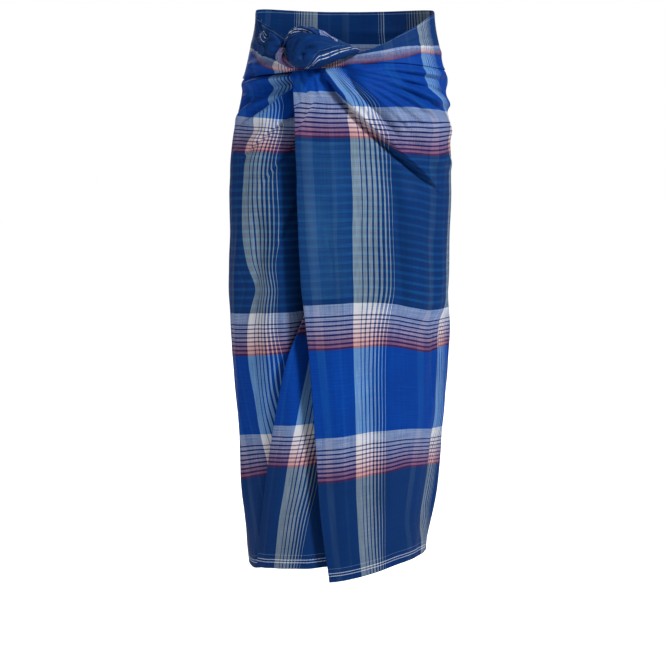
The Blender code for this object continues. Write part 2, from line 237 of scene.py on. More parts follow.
# Soft folds, in mm. Each runs from one place to another, round the form and up, bows sideways, and stands off
# by rise, or sinks in where rise is negative. Above and below are its widths on its two sides.
FOLDS = millimetres(
    "around height to_around to_height bow rise above below",
    # the pull from the knot over the right hip
    (0, -40, 190, -225, 14, 7.5, 34, 16),
    (-2, -26, 150, -40, 0, 4.8, 5, 3.5),
    (4, -28, 170, -66, 2, 6.2, 7, 3.5),
    (12, -34, 180, -92, 3, 7.2, 9, 4.5),
    (18, -42, 170, -118, 4, 7, 8, 4.5),
    (22, -50, 140, -132, 4, 5.6, 6, 4),
    (24, -56, 105, -136, 3, 4.8, 5, 3.5),
    (30, -30, 190, -50, 1, -4, 3, 3),
    (60, -58, 200, -104, 2, -3.6, 3, 4),
    (90, -52, 220, -74, 1, -4.8, 4, 3),
    (120, -40, 250, -36, 0, 4.5, 8, 6),
    (130, -82, 300, -96, 3, 6.6, 12, 7),
    (110, -128, 300, -142, 6, 4.5, 16, 12),
    (110, -178, 250, -196, 4, 3.9, 12, 10),
    (-36, -34, 140, -226, -12, -3.6, 3, 4),
    (-6, -40, 86, -170, 0, 5, 4, 4),
    (4, -40, 92, -160, 1, -5, 4, 4),
    (16, -44, 100, -150, 2, 4, 6, 5),
    # gathers under the knot
    (-70, -36, -64, -78, 0, 3.3, 3, 3),
    (-55, -34, -62, -74, 0, 3.3, 3, 3),
    (-44, -34, -36, -78, 0, 3.6, 3, 3),
    (-30, -36, -22, -66, 0, 2.7, 3, 3),
    (-50, -40, -52, -110, 0, 2.4, 6, 6),
    # the pull from the knot over the left hip
    (-80, -36, -240, -52, -4, -8.5, 5, 5),
    (-80, -44, -240, -62, -3, 8.5, 5, 7),
    (-110, -28, -230, -26, -5, 5, 6, 5),
    (-80, -54, -240, -98, -4, -8.5, 6, 8),
    (-90, -72, -250, -122, -4, 8, 8, 9),
    (-130, -68, -250, -80, 2, 4, 5, 5),
    (-130, -128, -235, -170, -4, -3.5, 10, 10),
    (-130, -146, -235, -186, -4, 3.5, 12, 12),
    # long soft folds down the front and the sides
    (60, -240, 75, -860, 4, 4, 20, 18),
    (66, -180, 90, -460, 4, -7.5, 10, 14),
    (100, -220, 128, -480, 4, 6, 14, 18),
    (150, -300, 160, -620, 6, -5, 14, 14),
    (-56, -140, -46, -460, 3, 3, 10, 10),
    (-20, -120, 0, -520, 3, 3.2, 12, 14),
    (235, -420, 205, -870, 16, 7.5, 14, 14),
    (190, -440, 165, -870, 12, -6, 12, 12),
    (150, -220, 150, -440, 6, 2, 20, 22),
    (35, -500, 50, -880, 4, -3.4, 10, 14),
    (-24, -440, 10, -880, 4, 3, 12, 14),
    (-180, -280, -215, -860, 4, 6, 16, 18),
    (-135, -260, -150, -620, 8, -6, 12, 14),
    (-110, -360, -120, -560, -4, 3.2, 12, 12),
    (-240, -220, -260, -860, -6, -3.6, 16, 16),
    # like folds at the sides and behind
    (345, -150, 330, -860, 8, 8.5, 26, 20),
    (430, -220, 440, -860, 6, -6, 20, 24),
    (515, -180, 500, -860, 10, 7, 24, 18),
    (290, -300, 285, -870, 8, -4, 14, 16),
    (-330, -160, -345, -870, 8, 7.5, 22, 26),
    (-425, -220, -415, -870, 6, -5.5, 20, 22),
    (-490, -160, -470, -870, 10, 6, 20, 20),
    (240, -50, 500, -100, 6, 4.5, 12, 10),
    (300, -90, 520, -170, 10, 4, 16, 12),
    (360, -44, 560, -64, 4, 3, 8, 7),
    (-290, -70, -500, -120, 6, 4.5, 12, 10),
    (-280, -120, -480, -190, 10, 3.8, 16, 12),
    (-350, -46, -540, -60, 4, 2.8, 8, 7),
    # the groove along the sewn seam
    (451, 80, 451, -900, 0, -1.8, 2.6, 2.6),
    # the waist band's own creases, drawn to the knot
    (-140, 10, -215, 58, 2, 2.6, 3, 3),
    (-130, 16, -195, 64, 2, 2.4, 3, 3),
    (-135, 13, -205, 61, 2, -2.2, 2, 2),
    (-105, 4, -230, 30, 2, 2.2, 4, 4),
    (-105, 12, -190, 48, 2, 2, 4, 4),
    (-105, -6, -240, 4, 1, -2.2, 4, 4),
    (-100, 6, -260, 14, 1, 2, 5, 4),
    (10, -10, 200, 20, -3, 2, 4, 5),
    (10, -6, 190, 42, -4, 1.8, 4, 5),
    (10, -16, 220, -4, -2, -1.8, 4, 4),
    (260, 30, 540, 34, 2, -1.6, 7, 7),
    (-280, 12, -520, 20, 2, 1.8, 7, 6),
    (240, -4, 480, 4, 2, 1.8, 6, 6),
)

# Folds where the cloth laps over itself, in mm. The lapping side, above the line or below it where the rise is
# negative, stands off by rise, and the cloth under its edge dips. Slide is how far the pattern above the line
# has slid, up and round, and reach is how far from the line that fades out.
LAPS = millimetres(
    "around height to_around to_height bow rise dip above below slide_up slide_round reach",
    (-36, -30, 158, -234, -12, 11, 6.4, 18, 9, 24, 2, 100),
    (-82, -56, -190, -120, 8, -4, 3.6, 14, 12, 4, -24, 180),
    (-76, -96, -185, -186, 6, 3.6, 3.2, 16, 12, 4, 0, 100),
    (-74, -146, -124, -220, 2, 3.4, 2.4, 14, 8, 2, 0, 100),
    (-70, -236, -100, -330, 0, 3.4, 2.4, 12, 8, 0, 0, 100),
)


def mix(a, b, share):
    return a * (1 - share) + b * share


def smooth(low, high, value):
    """0 at low, 1 at high, and a soft rise between."""
    t = np.clip((value - low) / (high - low), 0, 1)
    return t * t * (3 - 2 * t)


def wrapped(turn):
    return (turn + 180) % 360 - 180


def turn_at(across, height, lift):
    """The turn whose point on the front is this far across from the centre line."""
    width = np.where(across < 0, FORM.at("left", height), FORM.at("right", height))
    return np.degrees(np.arcsin(across / (width + lift)))


def front_turn(height):
    return turn_at(PLEATS.at("front_fold", height), height, FRONT_LIFT)


def inner_turn(height):
    return turn_at(PLEATS.at("inner_fold", height), height, 2 * LAYER)


def beside_line(across, up, run, climb, bow):
    """How far along a bowed line a point is, from 0 to 1, and how far to its left. Places are from its start."""
    length = np.hypot(run, climb)
    along = (across * run + up * climb) / length**2
    return along, (up * run - across * climb) / length - bow * 4 * along * (1 - along)


def along_and_off(turn, height, x0, z0, x1, z1, bow):
    """How far along a fold's line a point of the tube is, from 0 to 1, and how far it is above the line."""
    lap = 2 * np.pi * TURN_M
    middle = (x0 + x1) / 2
    across = (np.radians(turn) * TURN_M - middle + lap / 2) % lap - lap / 2 + middle - x0
    along, off = beside_line(across, height - z0, x1 - x0, z1 - z0, bow)
    return along, off * np.sign(x1 - x0)


def faded(along):
    """1 along a fold and 0 past its two ends."""
    return smooth(-0.06, 0.12, along) * smooth(1.08, 0.72, along)


def bell(along, off, rise, above, below):
    """A soft fold's height: a bell across it, with a width for each side."""
    return rise * np.exp(-((off / np.where(off > 0, above, below)) ** 2)) * faded(along)


def sway(turn, height):
    """Low waves that keep a long stretch from being flat: three sines of unlike lengths and slants."""
    a = np.radians(turn)
    long_wave = np.sin(a * 10 + height * 7 + 1.3 * np.sin(height * 9))
    slant_wave = np.sin(a * 16 - height * 23 + 2.1 * np.sin(a * 2))
    cross_wave = np.sin(a * 3 + height * 74 + 1.7 * np.sin(a * 5 + height * 12))
    return 0.00055 * long_wave + 0.00035 * slant_wave + 0.00025 * cross_wave


def relief(turn, height):
    """Soft folds are bells with unlike sides; laps add a step of cloth edge with a dip under it."""
    under_band = (BAND.at("low", wrapped(turn)) - height - PUFF_DROP) / PUFF_DROP
    total = sway(turn, height) + PUFF * np.exp(-(under_band**2))
    for x0, z0, x1, z1, bow, *size in FOLDS.each():
        total += bell(*along_and_off(turn, height, x0, z0, x1, z1, bow), *size)
    for x0, z0, x1, z1, bow, rise, dip, above, below, *_ in LAPS.each():
        along, off = along_and_off(turn, height, x0, z0, x1, z1, bow)
        off = off * np.sign(rise)
        lapping = abs(rise) * np.exp(-((off / above) ** 2))
        under = -dip * np.exp(-((off / below) ** 2))
        total += mix(under, lapping, smooth(-LAP_EDGE, LAP_EDGE, off)) * faded(along)
    return total


def slid(turn, height):
    """How far the cloth has slid under the laps at each point: round the tube, and up."""
    around, up = 0, 0
    for x0, z0, x1, z1, bow, *_, slide_up, slide_round, reach in LAPS.each():
        along, off = along_and_off(turn, height, x0, z0, x1, z1, bow)
        lapping = smooth(-SLIDE_EDGE, SLIDE_EDGE, off)
        up = up + slide_up * lapping * smooth(0.13, 0.02, off) * smooth(1.1, 0.5, along)
        near = smooth(reach, 0.2 * reach, off) * smooth(1.2, 0.8, along)
        around = around + slide_round * lapping * near
    return around, up


def wall_points(turn, height, lift):
    """An ellipse with squared corners at each height, moved out by lift along its own normal."""
    turn = wrapped(turn)
    across = np.where(turn < 0, FORM.at("left", height), FORM.at("right", height))
    depth = np.where(np.abs(turn) < 90, FORM.at("front", height), FORM.at("back", height))
    a = np.radians(turn)
    square = 1 + SQUARE * np.sin(2 * a) ** 2
    normal = np.stack([depth * np.sin(a), -across * np.cos(a)])
    normal = normal / np.hypot(*normal)
    x = across * np.sin(a) * square + normal[0] * lift
    y = -depth * np.cos(a) * square + normal[1] * lift
    return np.stack([x, y, height + 0 * turn], axis=-1)


def weft_height(hang, turn, height):
    """Height in the flat cloth, in metres above its lower edge: straight between the bands' own heights."""
    woven = [0, WEFT_FIRST, WEFT_FIRST + WEFT_BAND]
    woven += [woven[1] + WEFT_SECOND, woven[2] + WEFT_SECOND]
    woven += [woven[1] + WEFT_REPEAT, woven[2] + WEFT_REPEAT]
    hung = [hang.at(name, turn) for name in HUNG.split()]
    total = height * 0
    for i in range(len(hung) - 1):
        share = (height - hung[i]) / (hung[i + 1] - hung[i])
        total = total + (woven[i + 1] - woven[i]) * np.clip(share, 0, 1)
    return total + np.maximum(height - hung[-1], 0)


def warp_left(turn, height):
    """Place round the flat cloth on the left panel and behind: spread across the band's own folds."""
    around = np.radians(turn) * TURN_M
    left = mix(STRIPES.at("left", height), BACK_LEFT, smooth(-0.25, -0.42, around))
    off = around - left
    inside = np.clip(off, 0, 1) / STRIPES.at("spread", height)
    return inside + np.minimum(off, 0) - WARP_REPEAT


def warp_pleat(turn, height):
    return np.radians(turn) * TURN_M - STRIPES.at("pleat", height) - WARP_REPEAT


def warp_front(turn, height):
    """On the front panel: the first band at its own width, even ground up to the next, and on at true width."""
    around = np.radians(turn) * TURN_M
    left = STRIPES.at("front", height)
    wide = WARP_BAND * STRIPES.at("front_spread", height)
    gap = mix(STRIPES.at("right", height), BACK_RIGHT, smooth(0.25, 0.42, around)) - left
    before = np.minimum(around - left, 0) * mix(1.35, 0.9, smooth(-0.75, -0.15, height))
    within = WARP_BAND * np.clip((around - left) / wide, 0, 1)
    ground = (WARP_REPEAT - WARP_BAND) * np.clip((around - left - wide) / (gap - wide), 0, 1)
    return before + within + ground + np.maximum(around - left - gap, 0)


# Each stretch of the tube takes the heights of its columns and the share of the way across it, and gives
# turn, lift, and place round the flat cloth.


def stretch_back_left(height, share):
    turn = mix(SEAM - 360, -SIDE, share) + 0 * height
    return turn, relief(turn, height), warp_left(turn, height)


def sunk(turn, height):
    """How far the layers under the front panel lie in: more and more up to its fold, then the same."""
    return PLEATS.at("sink", height) * smooth(-13, 0, turn - front_turn(height))


def stretch_left(height, share):
    edge = front_turn(height)
    turn = mix(-SIDE, edge + LOWER_TUCK, share)
    shown = smooth(4, -3, turn - edge)
    step = PLEATS.at("step", height) * smooth(-8, 1, turn - inner_turn(height))
    return turn, relief(turn, height) * shown - sunk(turn, height) - step, warp_left(turn, height)


def bend(edge, low, high, outward, share):
    """A half round that joins two layers, to the left where outward is -1."""
    angle = np.pi * (share - 0.5)
    radius = (high - low) / 2
    turn = edge + outward * np.degrees(radius * np.cos(angle) / TURN_M)
    return turn, (low + high) / 2 + radius * np.sin(angle) + 0 * turn


def stretch_lower_bend(height, share):
    tuck = front_turn(height) + LOWER_TUCK
    low = -PLEATS.at("sink", height) - PLEATS.at("step", height)
    turn, lift = bend(tuck, low, LAYER - PLEATS.at("sink", height), 1, share)
    return turn, lift, warp_left(turn, height)


def stretch_pleat_under(height, share):
    turn = mix(front_turn(height) + LOWER_TUCK, inner_turn(height), share)
    return turn, LAYER - sunk(turn, height), warp_pleat(2 * inner_turn(height) - turn, height)


def stretch_pleat_bend(height, share):
    edge = inner_turn(height)
    away = sunk(edge, height)
    turn, lift = bend(edge, LAYER - away, 2 * LAYER - away, -1, share)
    return turn, lift, warp_pleat(turn, height)


def pleat_waves(turn, height):
    """Two shallow folds that run down the inner pleat beside its edge."""
    off = turn - inner_turn(height)
    near = 0.0026 * np.exp(-(((off - 8) / 4) ** 2))
    far = 0.0016 * np.exp(-(((off - 20) / 5) ** 2))
    return (near + far) * smooth(-0.40, -0.62, height)


def stretch_pleat_over(height, share):
    turn = mix(inner_turn(height), front_turn(height) + UPPER_TUCK, share)
    shown = smooth(2, -3, turn - front_turn(height))
    lift = 2 * LAYER - sunk(turn, height) + pleat_waves(turn, height) * shown
    return turn, lift, warp_pleat(turn, height)


def stretch_upper_bend(height, share):
    low = 2 * LAYER - PLEATS.at("sink", height)
    turn, lift = bend(front_turn(height) + UPPER_TUCK, low, 3 * LAYER, 1, share)
    return turn, lift, warp_pleat(turn, height)


def stretch_front_under(height, share):
    turn = mix(front_turn(height) + UPPER_TUCK, front_turn(height), share)
    return turn, 0 * turn + 3 * LAYER, warp_front(2 * front_turn(height) - turn, height)


def stretch_front_bend(height, share):
    edge = front_turn(height)
    turn, lift = bend(edge, 3 * LAYER, FRONT_LIFT + relief(edge, height), -1, share)
    return turn, lift, warp_front(turn, height)


def front_ride(turn):
    """How far the front panel rides out on the pleats, less and less towards the right side."""
    return FRONT_LIFT * smooth(85, 22, turn)


def stretch_front(height, share):
    turn = mix(front_turn(height), SIDE, mix(share, share**2, 0.35))
    return turn, front_ride(turn) + relief(turn, height), warp_front(turn, height)


def stretch_back_right(height, share):
    turn = mix(SIDE, SEAM, share) + 0 * height
    return turn, relief(turn, height), warp_front(turn, height)


# Every stretch in order: its function, its columns, and the heights at which its bands hang.
STRETCHES = (
    (stretch_back_left, 84, HANG_LEFT),
    (stretch_left, 146, HANG_LEFT),
    (stretch_lower_bend, 8, HANG_LEFT),
    (stretch_pleat_under, 20, HANG_PLEAT),
    (stretch_pleat_bend, 9, HANG_PLEAT),
    (stretch_pleat_over, 44, HANG_PLEAT),
    (stretch_upper_bend, 7, HANG_PLEAT),
    (stretch_front_under, 10, HANG_FRONT),
    (stretch_front_bend, 9, HANG_FRONT),
    (stretch_front, 152, HANG_FRONT),
    (stretch_back_right, 44, HANG_FRONT),
)
HEM_ROWS = 4  # grid rows in the turned hem
ROW_SHARES = np.concatenate([np.linspace(0, 0.72, 126)[:-1], np.linspace(0.72, 1, 160)])[:, None]


def tube():
    """The whole tube as rows by columns: points, flat-cloth coordinates, and where each stretch ends."""
    turns, heights, lifts, around, up, ends = [], [], [], [], [], [0]
    for stretch, columns, hang in STRETCHES:
        share = np.linspace(0, 1, columns + 1)[None, :]
        if turns:
            share = share[:, 1:]
        height = -0.45 + 0 * ROW_SHARES + 0 * share
        for _ in range(3):
            turn, lift, warp = stretch(height, share)
            height = mix(hang.at("hem", turn), BAND.at("low", wrapped(turn)) + TUCKED, ROW_SHARES)
        turn, lift, warp = stretch(height, share)
        turns.append(turn)
        heights.append(height)
        lifts.append(lift)
        slid_round, slid_up = slid(turn, height)
        around.append(warp + slid_round)
        up.append(weft_height(hang, turn, height) + slid_up)
        ends.append(ends[-1] + columns)
    points = wall_points(np.hstack(turns), np.hstack(heights), np.hstack(lifts))
    return points, np.stack([np.hstack(around), np.hstack(up)], axis=-1), ends


def unit(vectors):
    return vectors / np.maximum(np.linalg.norm(vectors, axis=-1, keepdims=True), 1e-12)


def outward(points, closed=False):
    """Unit normals of a grid, from the differences between neighbours along its rows and columns."""
    if closed:
        across = np.roll(points, -1, axis=1) - np.roll(points, 1, axis=1)
    else:
        across = np.gradient(points, axis=1)
    return unit(np.cross(across, np.gradient(points, axis=0)))


def finish_piece(piece, nodes, material):
    piece.data.materials.append(material)
    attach(piece, "root")
    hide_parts(*nodes)
    return piece


def mesh_piece(name, points, places, *faces, normals=None):
    """A smooth mesh with a place in the flat cloth for each point, and a normal for each corner if given."""
    mesh = bpy.data.meshes.new(name)
    mesh.from_pydata(points.tolist(), [], [face for group in faces for face in group.tolist()])
    corners = np.concatenate([group.reshape(-1) for group in faces])
    layer = mesh.uv_layers.new(name="cloth")
    layer.data.foreach_set("uv", places[corners].astype(np.float32).reshape(-1))
    mesh.shade_smooth()
    if normals is not None:
        mesh.normals_split_custom_set(normals.astype(np.float32))
    piece = bpy.data.objects.new(name, mesh)
    bpy.context.collection.objects.link(piece)
    return piece


def quads(low, high):
    """Faces between two lines of point numbers."""
    return np.stack([low[:-1], low[1:], high[1:], high[:-1]], axis=-1)


def wall(name, points, normals, places):
    """A cloth wall from a grid: its outer face, its inner face turned round, and the rim between them."""
    rows, columns = points.shape[:2]
    count = rows * columns
    outer = np.arange(count).reshape(rows, columns)
    inner = outer + count
    face = quads(outer.T, np.roll(outer, -1, axis=0).T).transpose(1, 0, 2)[:-1].reshape(-1, 4)
    back = (face + count)[:, ::-1]
    rims = [
        quads(outer[0], inner[0])[:, ::-1],
        quads(outer[-1], inner[-1]),
        quads(outer[:, 0], inner[:, 0]),
        quads(outer[:, -1], inner[:, -1])[:, ::-1],
    ]
    both = np.concatenate([points + normals * CLOTH / 2, points - normals * CLOTH / 2]).reshape(-1, 3)
    rim = np.concatenate(rims)
    a, b, c = both[rim[:, 0]], both[rim[:, 1]], both[rim[:, 3]]
    flat = np.repeat(unit(np.cross(b - a, c - a)), 4, axis=0)
    soft = np.concatenate([normals, -normals]).reshape(-1, 3)
    corner_normals = np.concatenate([soft[face.reshape(-1)], soft[back.reshape(-1)], flat])
    uv = np.concatenate([places.reshape(-1, 2)] * 2)
    return mesh_piece(name, both, uv, face, back, rim, normals=corner_normals)


def ride(turn):
    """How far the band and the knot are held out by the pleats under them."""
    return front_ride(turn) * smooth(-66, -42, turn)


def waist_band(turn):
    """Up from a rolled lower edge, which laps over the panels, to an upper edge that lies on the form."""
    curl = np.linspace(-0.5, 0.5, 9)[:-1] * np.pi
    still = np.zeros(36)
    drop = np.concatenate([-BAND_CURL * np.cos(curl), still])[:, None]
    inset = np.concatenate([BAND_CURL * (1 - np.sin(curl)), still])[:, None]
    share = np.concatenate([0 * curl, np.linspace(0, 1, 36)])[:, None]
    turn = turn[None, :]
    where = wrapped(turn)
    low, high = BAND.at("low", where), BAND.at("high", where)
    height = mix(low + BAND_CURL, high, share) + drop
    lift = relief(where, height) + ride(where) + BAND_LIFT * smooth(1, 0.35, share) - inset
    pale_from, pale_to = BAND.at("pale_from", where), BAND.at("pale_to", where)
    pale_low = WEFT_FIRST + WEFT_REPEAT + WEFT_SECOND
    below = np.minimum(share - pale_from, 0) * (high - low)
    within = WEFT_BAND * np.clip((share - pale_from) / (pale_to - pale_from), 0, 1)
    above = np.clip((share - pale_to) / (1 - pale_to), 0, 1) * (BAND_TOP - pale_low - WEFT_BAND)
    lap = np.where(turn > SEAM, turn - 360, turn)
    right_side = (turn > BAND_JOIN) & (turn < SEAM)
    level = np.maximum(height, -0.020)
    around = np.where(right_side, warp_front(lap, level), warp_left(lap, level))
    return wall_points(where, height, lift), np.stack([around, pale_low + below + within + above], axis=-1)


# The knot's four folds of cloth. Each runs along a line, across and up the front, off from the band; tall and
# deep are the half sizes of its section, which leans by some degrees.
KNOT_BULB = Rows(
    "along across height off tall deep lean",
    (0.00, -0.090, -0.002, 0.008, 0.012, 0.006, 0),
    (0.10, -0.085, -0.001, 0.013, 0.020, 0.013, 0),
    (0.20, -0.078, -0.001, 0.018, 0.025, 0.017, 0),
    (0.40, -0.058, -0.002, 0.023, 0.029, 0.021, 4),
    (0.60, -0.034, -0.004, 0.021, 0.026, 0.019, 8),
    (0.80, -0.008, -0.004, 0.014, 0.015, 0.012, 14),
    (1.00, 0.026, -0.002, 0.006, 0.004, 0.004, 20),
)
KNOT_RIM = Rows(
    "along across height off tall deep lean",
    (0.0, -0.094, 0.004, 0.010, 0.0040, 0.005, 0),
    (0.2, -0.080, 0.025, 0.015, 0.0055, 0.008, 0),
    (0.4, -0.060, 0.032, 0.018, 0.0062, 0.010, 0),
    (0.6, -0.036, 0.025, 0.018, 0.0058, 0.010, 0),
    (0.8, -0.012, 0.013, 0.013, 0.0045, 0.007, 0),
    (1.0, 0.018, 0.001, 0.007, 0.0022, 0.004, 0),
)
KNOT_TWIST = Rows(
    "along across height off tall deep lean",
    (0.0, -0.090, 0.004, 0.016, 0.0040, 0.005, 100),
    (0.3, -0.095, -0.006, 0.018, 0.0060, 0.007, 85),
    (0.7, -0.091, -0.018, 0.018, 0.0065, 0.007, 55),
    (1.0, -0.078, -0.028, 0.014, 0.0035, 0.004, 20),
)
KNOT_TAIL = Rows(
    "along across height off tall deep lean",
    (0.00, -0.138, 0.025, 0.004, 0.004, 0.003, 35),
    (0.25, -0.131, 0.021, 0.008, 0.010, 0.006, 30),
    (0.42, -0.123, 0.016, 0.009, 0.011, 0.006, 24),
    (0.60, -0.114, 0.010, 0.010, 0.017, 0.008, 16),
    (0.80, -0.105, 0.006, 0.010, 0.016, 0.008, 10),
    (1.00, -0.094, 0.002, 0.008, 0.006, 0.005, 0),
)

# Creases on the face of the knot, as the soft folds above, in mm across and up.
KNOT_CREASES = millimetres(
    "across height to_across to_height bow rise above below",
    (-82, -22, -18, 10, 14, 4.4, 5, 5),
    (-80, -10, -50, 24, 6, 2.2, 3, 3),
    (-70, -14, -46, 4, 7, -7.5, 4, 6),
    (-52, -10, 20, 0, 2, -4, 4, 3),
    (-82, -24, -10, -8, -4, 3.4, 6, 5),
    (-78, -28, -36, -26, -2, -1.8, 2, 2),
    (-80, -20, -60, -12, 1, 1.8, 2, 2),
    (-80, -26, -52, -20, 1, -2, 2, 2),
    (-84, -16, -74, 20, 2, -2.6, 3, 2),
    (-46, 14, 6, 4, 3, -2, 3, 3),
    (-40, 20, 0, 10, 3, 1.6, 3, 3),
)


def pleated(points, along, creases):
    """Moves a tube's points along their normals by creases, less at the two ends."""
    normal = outward(points, closed=True)
    return points + normal * (creases * smooth(0, 0.08, along) * smooth(1, 0.9, along))[..., None]


def face_creases(points, facing):
    """The knot's creases at points on its face; none behind it."""
    total = 0 * facing
    for x0, z0, x1, z1, bow, *size in KNOT_CREASES.each():
        beside = beside_line(points[..., 0] - x0, points[..., 2] - z0, x1 - x0, z1 - z0, bow)
        total = total + bell(*beside, *size)
    return total * smooth(-0.1, 0.5, facing)


def bulb_creases(points, along, angle):
    """The folds on its face, and fine pleats that fan out of the pinch at the left end."""
    fine = np.sin(15.0 * angle - 7.0 * along + 0.8 * np.sin(4 * angle)) * smooth(0.8, 0.1, along)
    return face_creases(points, np.cos(angle) + 0 * along) + 0.0006 * fine


def bulb_place(along, angle):
    """Dark ground, with the selvage drawn along the lower right edge."""
    edge = np.radians(mix(-120, -52, smooth(0.38, 0.60, along)))
    signed = (angle + np.pi) % (2 * np.pi) - np.pi
    away = np.maximum(KNOT_BULB.at("tall", along) * 0.9, 0.006) * (signed - edge)
    return mix(0.055, 0.100, along) + 0 * angle, CLOTH_TOP - np.clip(away, -0.02, 0.052)


def rim_creases(points, along, angle):
    """Wound pleats along the roll."""
    return 0.0010 * np.sin(3 * angle + 16 * along) + 0.0006 * np.sin(5 * angle - 27 * along)


def rim_place(along, angle):
    """A rolled edge: selvage lines along it, and a pale stretch towards its right end."""
    pale = smooth(0.55, 0.64, along) * smooth(0.86, 0.76, along) * smooth(-0.3, 0.3, np.sin(angle + 0.6))
    return mix(0.055, 0.115, along) + 0 * angle, 1.078 + 0.013 * np.sin(angle + 5 * along) - 0.050 * pale


def twist_creases(points, along, angle):
    """Strands that wind round the cord."""
    return 0.0014 * np.cos(4 * angle + 12 * along)


def twist_place(along, angle):
    """The pale crosswise band wound into a cord."""
    return 0.055 + 0.02 * along + 0 * angle, 0.994 + 0.020 * np.sin(2 * angle + 6 * along)


def tail_creases(points, along, angle):
    """A waist between the loop and the petal, and pleats along both."""
    waist = np.exp(-(((along - 0.44) / 0.07) ** 2))
    return -0.0040 * waist + 0.0012 * np.sin(4 * angle + 6 * along) + 0.0007 * np.sin(9 * angle - 8 * along)


def tail_place(along, angle):
    """Dark ground, with the selvage round the loop."""
    loop = smooth(0.52, 0.40, along)
    up = 1.063 + loop * (0.015 + 0.016 * np.sin(angle + 3 * along))
    return 0.055 + 0.03 * along + 0.004 * np.sin(angle), up


def knot_fold(name, rows, creases, place, sections, sides, finish):
    """A closed soft tube: ellipses carried along a line, creased, and drawn shut at both ends."""
    along = np.linspace(0, 1, sections)[:, None]
    angle = np.linspace(2 * np.pi, 0, sides, endpoint=False)[None, :]
    lean = np.radians(rows.at("lean", along))
    height = rows.at("height", along)
    turn = turn_at(rows.at("across", along), height, FRONT_LIFT)
    centre = wall_points(turn, height, ride(turn) + BAND_LIFT + rows.at("off", along))
    shut = np.sqrt(np.clip(smooth(-0.03, 0.05, along) * smooth(1.03, 0.95, along), 0, 1))
    up = rows.at("tall", along) * np.sin(angle) * shut
    out = rows.at("deep", along) * np.cos(angle) * shut
    points = centre + np.stack([up * np.sin(lean), -out, up * np.cos(lean)], axis=-1)
    points = pleated(points, along, creases(points, along, angle))
    u, v = place(along, angle)
    piece = tube_piece(name + "_cloth", points, np.stack([u + 0 * v, v + 0 * u], axis=-1))
    return finish_piece(piece, [name], finish)


def tube_piece(name, points, places):
    """Closes a grid that runs round its rows, with a fan of faces at each end."""
    rows, columns = points.shape[:2]
    grid = np.arange(rows * columns).reshape(rows, columns)
    ring = np.concatenate([grid, grid[:, :1]], axis=1)
    side = np.concatenate([quads(low, high) for low, high in zip(ring[:-1], ring[1:])])
    first, last = rows * columns, rows * columns + 1
    low_fan = np.stack([np.full(columns, first), ring[0, 1:], ring[0, :-1]], axis=-1)
    high_fan = np.stack([np.full(columns, last), ring[-1, :-1], ring[-1, 1:]], axis=-1)
    ends = np.stack([points[0].mean(axis=0), points[-1].mean(axis=0)])
    every = np.concatenate([points.reshape(-1, 3), ends])
    spots = np.concatenate([places.reshape(-1, 2), places[0, :1], places[-1, :1]])
    return mesh_piece(name, every, spots, side, low_fan, high_fan)


class Field:
    """A value that changes over a surface. Arithmetic on it adds Math nodes to its finish."""

    def __init__(self, finish, socket):
        self.finish, self.socket = finish, socket

    def maths(self, operation, *values):
        return self.finish.node("ShaderNodeMath", {"operation": operation}, *values)

    def __add__(self, other):
        return self.maths("ADD", self, other)

    def __sub__(self, other):
        return self.maths("SUBTRACT", self, other)

    def __rsub__(self, other):
        return self.maths("SUBTRACT", other, self)

    def __mul__(self, other):
        return self.maths("MULTIPLY", self, other)

    def __mod__(self, other):
        return self.maths("FLOORED_MODULO", self, other)

    def __lt__(self, other):
        return self.maths("LESS_THAN", self, other)

    def __gt__(self, other):
        return self.maths("GREATER_THAN", self, other)

    def __abs__(self):
        return self.maths("ABSOLUTE", self)

    def sine(self):
        return self.maths("SINE", self)

    __radd__ = __add__
    __rmul__ = __mul__


class Finish:
    """One material and its nodes."""

    def __init__(self, name, **constants):
        self.material = bpy.data.materials.new(name)
        self.material.use_nodes = True
        self.tree = self.material.node_tree
        self.shader = self.tree.nodes["Principled BSDF"]
        for socket, value in constants.items():
            self.shader.inputs[socket.replace("_", " ")].default_value = value

    def node(self, kind, settings, *values, output=0, **named):
        """Adds a node: its settings first, with a ramp's stops among them, then its sockets' values or links.
        A value of None leaves its socket as it is."""
        node = self.tree.nodes.new(kind)
        for key, value in settings.items():
            if key == "stops":
                self.set_stops(node.color_ramp, value)
            elif key == "blend":
                node.color_ramp.interpolation = value
            else:
                setattr(node, key, value)
        for socket, value in [*enumerate(values), *named.items()]:
            if isinstance(value, Field):
                self.tree.links.new(value.socket, node.inputs[socket])
            elif value is not None:
                node.inputs[socket].default_value = value
        return Field(self, node.outputs[output])

    def set_stops(self, ramp, stops):
        elements = ramp.elements
        while len(elements) < len(stops):
            elements.new(1.0)
        for element, (position, colour) in zip(elements, stops):
            element.position = position
            element.color = colour

    def ramp(self, factor, stops, blend="LINEAR"):
        return self.node("ShaderNodeValToRGB", {"blend": blend, "stops": stops}, factor)

    def blended(self, factor, a, b):
        """Colour a where factor is 0 and b where it is 1."""
        unused = [None] * 5
        return self.node("ShaderNodeMix", {"data_type": "RGBA"}, factor, *unused, a, b, output=2)

    def vector(self, x, y, z=0.0):
        return self.node("ShaderNodeCombineXYZ", {}, x, y, z)

    def noise(self, vector, scale, detail=2.0, rough=0.5):
        named = {"Vector": vector, "Scale": scale, "Detail": detail, "Roughness": rough}
        return self.node("ShaderNodeTexNoise", {"noise_dimensions": "3D"}, **named)

    def feed(self, socket, value):
        self.tree.links.new(value.socket, self.shader.inputs[socket])


def thread(red, green, blue):
    """A yarn's colour, from 0 to 255 as a dyer's chart gives it."""
    return (red / 255, green / 255, blue / 255, 1.0)


def grey(level):
    return (level, level, level, 1.0)


